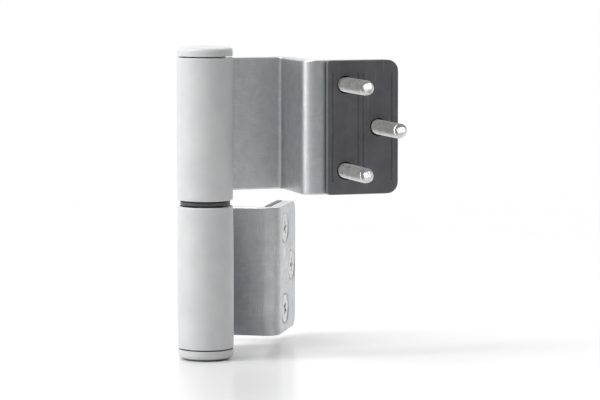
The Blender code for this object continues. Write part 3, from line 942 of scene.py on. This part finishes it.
def make_lock_screw():
    """M4 grub screw that reaches the pin's waist, along -Y."""
    inner, outer = -LOCK[1].y, -LOCK[0].y
    screw = grub_screw(
        LOCK[1].x, 1.66 * MM, 0.7 * MM, inner, outer,
        chamfer=0.25 * MM, socket_af=2.0 * MM, socket_depth=1.2 * MM, dog_r=1.5 * MM,
    )
    place = FRAME_SIDE @ Matrix.Translation((0.0, 0.0, LOCK_Z)) @ Matrix.Rotation(math.pi / 2, 4, "X")
    put("pin_lock_screw", screw, place, "pin_lock_screw", "screw_steel")


# ---------------------------------------------------------------------------
# pin, ball, pad, washer and bushes
# ---------------------------------------------------------------------------
def make_pin():
    """Stepped pin: collar at the parting, waist for the lock screw, dished tip for the ball."""
    low, tip = PIN[0].z, PIN[1].z
    collar_r = PIN[1].x
    lower_r, upper_r, waist_r = 4.0 * MM, 3.5 * MM, 3.2 * MM
    waist_half = 2.5 * MM
    collar_low = -GROOVE - COLLAR_H
    dish_r = BALL_R + GAP
    dish_edge = math.sqrt(dish_r**2 - (BALL_Z - tip) ** 2)
    outline = softened(
        [
            (0.0, low, 0.0),
            (lower_r - 0.5 * MM, low, 0.15 * MM),
            (lower_r, low + 0.6 * MM, 0.3 * MM),
            (lower_r, LOCK_Z - waist_half - 0.2 * MM, 0.1 * MM),
            (waist_r, LOCK_Z - waist_half + 0.2 * MM, 0.2 * MM),
            (waist_r, LOCK_Z + waist_half - 0.2 * MM, 0.2 * MM),
            (lower_r, LOCK_Z + waist_half + 0.2 * MM, 0.1 * MM),
            (lower_r, collar_low, 0.12 * MM),
            (collar_r, collar_low, 0.2 * MM),
            (collar_r, -GROOVE, 0.25 * MM),
            (upper_r, -GROOVE, 0.15 * MM),
            (upper_r, tip - 0.9 * MM, 0.4 * MM),
            (upper_r - 0.6 * MM, tip, 0.15 * MM),
            (dish_edge, tip, 0.0),
        ],
        3,
        closed=False,
    )
    start = math.degrees(math.asin((tip - BALL_Z) / dish_r))
    outline += arc(0.0, BALL_Z, dish_r, start, -90.0, 8)[1:-1]
    outline.append((0.0, BALL_Z - dish_r))
    put("hinge_pin", turned(outline), FRAME_SIDE, "frame_side", "pin_steel")


def make_ball():
    """Bearing ball between pin and pad."""
    outline = arc(0.0, BALL_Z, BALL_R, -90.0, 90.0, MEDIUM // 2)
    outline[0] = (0.0, BALL_Z - BALL_R)
    outline[-1] = (0.0, BALL_Z + BALL_R)
    put("thrust_ball", turned(outline, MEDIUM), SASH_SIDE, "thrust_stack", "ball_steel", 60.0)


def make_pad():
    """Pad with a dished underside for the ball and a groove round its side."""
    low, high = PAD[0].z, PAD[1].z
    pad_r = PAD[1].y
    dish_r = BALL_R + GAP
    end = math.degrees(math.asin((low - BALL_Z) / dish_r))
    outline = [(0.0, BALL_Z + dish_r)]
    outline += arc(0.0, BALL_Z, dish_r, 90.0, end, 8)[1:]
    outline += softened(
        [
            (dish_r, low, 0.0),
            (pad_r, low, 0.25 * MM),
            (pad_r, low + 1.2 * MM, 0.1 * MM),
            (pad_r - 0.25 * MM, low + 1.5 * MM, 0.1 * MM),
            (pad_r - 0.25 * MM, low + 2.0 * MM, 0.1 * MM),
            (pad_r, low + 2.3 * MM, 0.1 * MM),
            (pad_r, high, 0.4 * MM),
            (0.0, high, 0.0),
        ],
        3,
        closed=False,
    )[1:]
    put("thrust_pad", turned(outline), SASH_SIDE, "thrust_stack", "bush_plastic")


def make_washer():
    """Ring between the knuckles, with a grease groove in its upper face."""
    inner, outer = 3.8 * MM, WASHER[1].y
    half = WASHER[1].z
    groove = 0.12 * MM
    points = [
        (inner, -half, 0.15 * MM),
        (outer, -half, 0.22 * MM),
        (outer, half, 0.22 * MM),
        (5.6 * MM, half, 0.0),
        (5.4 * MM, half - groove, 0.0),
        (5.0 * MM, half - groove, 0.0),
        (4.8 * MM, half, 0.0),
        (inner, half, 0.15 * MM),
    ]
    put("thrust_washer", turned(softened(points)), SASH_SIDE, "thrust_ring", "bush_plastic")


def make_bushes():
    """Flanged lower bush and plain upper bush."""
    low, high = LOWER_BUSH[0].z, LOWER_BUSH[1].z
    flange_r, out_r, in_r = LOWER_BUSH[1].y, 4.7 * MM, 3.8 * MM
    flange_t = 1.0 * MM
    flanged = [
        (in_r, low, 0.2 * MM),
        (flange_r, low, 0.2 * MM),
        (flange_r, low + flange_t, 0.2 * MM),
        (out_r, low + flange_t, 0.15 * MM),
        (out_r, high, 0.25 * MM),
        (in_r, high, 0.2 * MM),
    ]
    put("lower_bush", turned(softened(flanged)), SASH_SIDE, "sash_side", "bush_plastic")
    low, high = UPPER_BUSH[0].z, UPPER_BUSH[1].z
    plain = [
        (in_r, low, 0.2 * MM),
        (out_r, low, 0.25 * MM),
        (out_r, high, 0.25 * MM),
        (in_r, high, 0.2 * MM),
    ]
    put("upper_bush", turned(softened(plain)), SASH_SIDE, "sash_side", "bush_plastic")


# ---------------------------------------------------------------------------
# covers
# ---------------------------------------------------------------------------
def sleeve_plan(outer, inner_inset):
    """Plan of the slotted tube: outer arc, round lips of the slot, inner arc with grip ribs."""
    inner = SLEEVE_IN_R + inner_inset
    right = WEB_X + SLOT_HALF + inner_inset
    left = WEB_X - SLOT_HALF - inner_inset
    lip = 0.15 * MM
    rib = 0.2 * MM
    outer_start = math.degrees(math.acos(right / outer))
    outer_end = math.degrees(math.acos(left / outer)) - 360.0
    inner_start = math.degrees(math.acos(left / inner)) - 360.0
    inner_end = math.degrees(math.acos(right / inner))
    points = [(x, y, 0.0) for x, y in arc(0.0, 0.0, outer, outer_start, outer_end, FINE)]
    for x, y in arc(0.0, 0.0, inner, inner_start, inner_end, FINE):
        angle = math.atan2(y, x)
        crest = max(0.0, -math.cos(5 * (angle - math.pi / 2))) ** 12
        points.append((x * (1 - rib * crest / inner), y * (1 - rib * crest / inner), 0.0))
    for corner in (0, FINE, FINE + 1, 2 * FINE + 1):
        points[corner] = (*points[corner][:2], lip)
    return softened(points, 3)


def make_sleeve(node, side, place, body):
    """Thin moulded tube, swelling along its length, with a rounded outer rim at both ends."""
    rim = 0.3 * MM
    inner_rim = 0.05 * MM
    shares = (0.0, 0.04, 0.14, 0.32, 0.6, 1.0)
    stops = [GROOVE + rim * share for share in shares]
    stops += [GROOVE + rim + (SLEEVE_END - GROOVE - 2 * rim) * i / 24 for i in range(1, 24)]
    stops += [SLEEVE_END - rim * share for share in reversed(shares)]
    rings = []
    for z in stops:
        outer = barrel_radius(z) - rounding(z, GROOVE, SLEEVE_END, rim)
        plan = sleeve_plan(outer, rounding(z, GROOVE, SLEEVE_END, inner_rim))
        rings.append([(x, y, side * z) for x, y in plan])
    put(node, loft(rings), place, body, "cover_plastic")


def make_cap(node, side, place, body):
    """Softly domed end cap; its plug has crush ribs and a lead-in."""
    near = SLEEVE_END + GAP
    plug_end = 36.6 * MM
    plug_r = 4.0 * MM
    dome = 0.35 * MM
    rim_r = 1.1 * MM
    rib = 0.18 * MM
    rim_z = BARREL_TOP - dome - rim_r
    top_r = barrel_radius(rim_z)
    outline = softened(
        [
            (0.0, plug_end, 0.0),
            (plug_r - 0.5 * MM, plug_end, 0.2 * MM),
            (plug_r, plug_end + 0.6 * MM, 0.2 * MM),
            (plug_r, near, 0.1 * MM),
            (barrel_radius(near), near, 0.16 * MM),
            (top_r, rim_z, 0.0),
        ],
        4,
        closed=False,
    )
    outline += arc(top_r - rim_r, rim_z, rim_r, 0.0, 82.0, 8)[1:]
    start_r, start_z = outline[-1]
    gate_r, gate_depth = 0.9 * MM, 0.09 * MM

    def dome_z(r):
        """Height of the dome at a radius."""
        return start_z + (BARREL_TOP - start_z) * (1 - (r / start_r) ** 2)

    for i in range(1, 8):
        r = start_r + (gate_r + 0.06 * MM - start_r) * i / 7
        outline.append((r, dome_z(r)))
    outline += [
        (gate_r, dome_z(gate_r) - 0.02 * MM),
        (gate_r - 0.05 * MM, dome_z(gate_r) - gate_depth),
        (0.30 * MM, dome_z(gate_r) - gate_depth),
        (0.24 * MM, dome_z(gate_r) - 0.04 * MM),
        (0.0, dome_z(gate_r) - 0.03 * MM),
    ]

    def ribs(angle, r, z):
        """Six crush ribs down the plug."""
        if r > plug_r + 0.01 * MM or z > near - 0.05 * MM:
            return r
        crest = max(0.0, math.cos(6 * angle)) ** 8
        return r - rib * (1 - crest)

    notch = moved(
        turned([(0.0, -1.6 * MM), (0.75 * MM, -1.3 * MM), (0.75 * MM, 1.3 * MM), (0.0, 1.6 * MM)], SMALL),
        Matrix.Translation((0.0, BARREL_R + 0.1 * MM, near)) @ Matrix.Rotation(math.pi / 2, 4, "Y"),
    )
    made = combined(turned(outline, FINE, ribs), [("DIFFERENCE", notch)])
    if side < 0:
        moved(made, Matrix.Scale(-1.0, 4, (0.0, 0.0, 1.0)))
    put(node, made, place, body, "cover_plastic")


# ---------------------------------------------------------------------------
# stage: floor, soft lights and camera
# ---------------------------------------------------------------------------
def make_floor():
    """Pale floor that fades out before the horizon, so that no line shows behind the part."""
    bm = bmesh.new()
    bmesh.ops.create_circle(bm, cap_ends=True, segments=128, radius=3.0)
    floor = as_object("floor", bm)
    floor.location = (AXIS.x, AXIS.y, cad_low.z)
    material = bpy.data.materials.new("pale_floor")
    material.use_nodes = True
    tree = material.node_tree
    shader = tree.nodes["Principled BSDF"]
    shader.inputs["Base Color"].default_value = (0.82, 0.82, 0.825, 1.0)
    shader.inputs["Roughness"].default_value = 0.22
    clear = tree.nodes.new("ShaderNodeBsdfTransparent")
    blend = tree.nodes.new("ShaderNodeMixShader")
    coords = tree.nodes.new("ShaderNodeTexCoord")
    reach = tree.nodes.new("ShaderNodeVectorMath")
    reach.operation = "LENGTH"
    fade = tree.nodes.new("ShaderNodeMapRange")
    fade.interpolation_type = "SMOOTHSTEP"
    fade.inputs["From Min"].default_value = 0.12
    fade.inputs["From Max"].default_value = 0.55
    tree.links.new(coords.outputs["Object"], reach.inputs[0])
    tree.links.new(reach.outputs["Value"], fade.inputs["Value"])
    tree.links.new(fade.outputs["Result"], blend.inputs["Fac"])
    tree.links.new(shader.outputs[0], blend.inputs[1])
    tree.links.new(clear.outputs[0], blend.inputs[2])
    tree.links.new(blend.outputs[0], tree.nodes["Material Output"].inputs["Surface"])
    floor.data.materials.append(material)


def direction(azimuth, elevation):
    """Unit vector from the part towards a light or a camera; azimuth 0 is the room side, -Y."""
    a, e = math.radians(azimuth), math.radians(elevation)
    return Vector((math.sin(a) * math.cos(e), -math.cos(a) * math.cos(e), math.sin(e)))


def aimed(name, data, way, distance):
    """Light or camera at that distance from the middle of the part, looking at it."""
    thing = bpy.data.objects.new(name, data)
    bpy.context.scene.collection.objects.link(thing)
    thing.location = MIDDLE + way * distance
    thing.rotation_euler = (-way).to_track_quat("-Z", "Y").to_euler()
    return thing


def soft_light(name, way, distance, size, power):
    """Rectangular soft box."""
    light = bpy.data.lights.new(name, "AREA")
    light.shape = "RECTANGLE"
    light.size, light.size_y = size
    light.energy = power
    aimed(name, light, way, distance)


def make_studio():
    """White backdrop behind and to the left, a dimmer room behind the camera, and soft boxes."""
    world = bpy.data.worlds.new("studio")
    world.use_nodes = True
    tree = world.node_tree
    coords = tree.nodes.new("ShaderNodeTexCoord")
    facing = tree.nodes.new("ShaderNodeVectorMath")
    facing.operation = "DOT_PRODUCT"
    facing.inputs[1].default_value = direction(VIEW_AZIMUTH + 180.0 + 35.0, 0.0)
    fade = tree.nodes.new("ShaderNodeMapRange")
    fade.interpolation_type = "SMOOTHSTEP"
    for socket, value in zip(("From Min", "From Max", "To Min", "To Max"), (-0.7, 0.7, 0.30, 1.0)):
        fade.inputs[socket].default_value = value
    tree.links.new(coords.outputs["Generated"], facing.inputs[0])
    tree.links.new(facing.outputs["Value"], fade.inputs["Value"])
    tree.links.new(fade.outputs["Result"], tree.nodes["Background"].inputs["Strength"])
    tree.nodes["Background"].inputs["Color"].default_value = (1.0, 1.0, 1.0, 1.0)
    bpy.context.scene.world = world
    soft_light("key", direction(-52.0, 58.0), 0.8, (0.35, 0.6), 4.2)
    soft_light("strip", direction(-64.0, 24.0), 0.7, (0.09, 0.5), 1.3)
    soft_light("fill", direction(60.0, 20.0), 1.1, (0.6, 0.6), 0.5)
    soft_light("back", direction(165.0, 50.0), 1.0, (0.6, 0.5), 2.0)


def make_camera():
    """Long lens from the photo's side, a little above the part."""
    camera = bpy.data.cameras.new("camera")
    camera.sensor_width = 36.0
    camera.lens = 180.0
    way = direction(VIEW_AZIMUTH, VIEW_ELEVATION)
    bpy.context.scene.camera = aimed("camera", camera, way, VIEW_DISTANCE)


make_frame_leaf()
make_sash_leaf()
make_packer("frame_packer", -1, PACKER_X[0], -1, FRAME_SIDE, "frame_side")
make_packer("sash_packer", 1, SASH_EDGE_X - PACKER_T, 1, SASH_SIDE, "sash_side")
make_fixing_screws()
make_height_screw()
make_lock_screw()
make_pin()
make_ball()
make_pad()
make_washer()
make_bushes()
make_sleeve("lower_sleeve", -1, FRAME_SIDE, "lower_sleeve")
make_sleeve("upper_sleeve", 1, SASH_SIDE, "upper_sleeve")
make_cap("lower_cap", -1, FRAME_SIDE, "lower_cap")
make_cap("upper_cap", 1, SASH_SIDE, "upper_cap")

make_floor()
make_studio()
make_camera()
bpy.context.scene.view_settings.view_transform = "Standard"
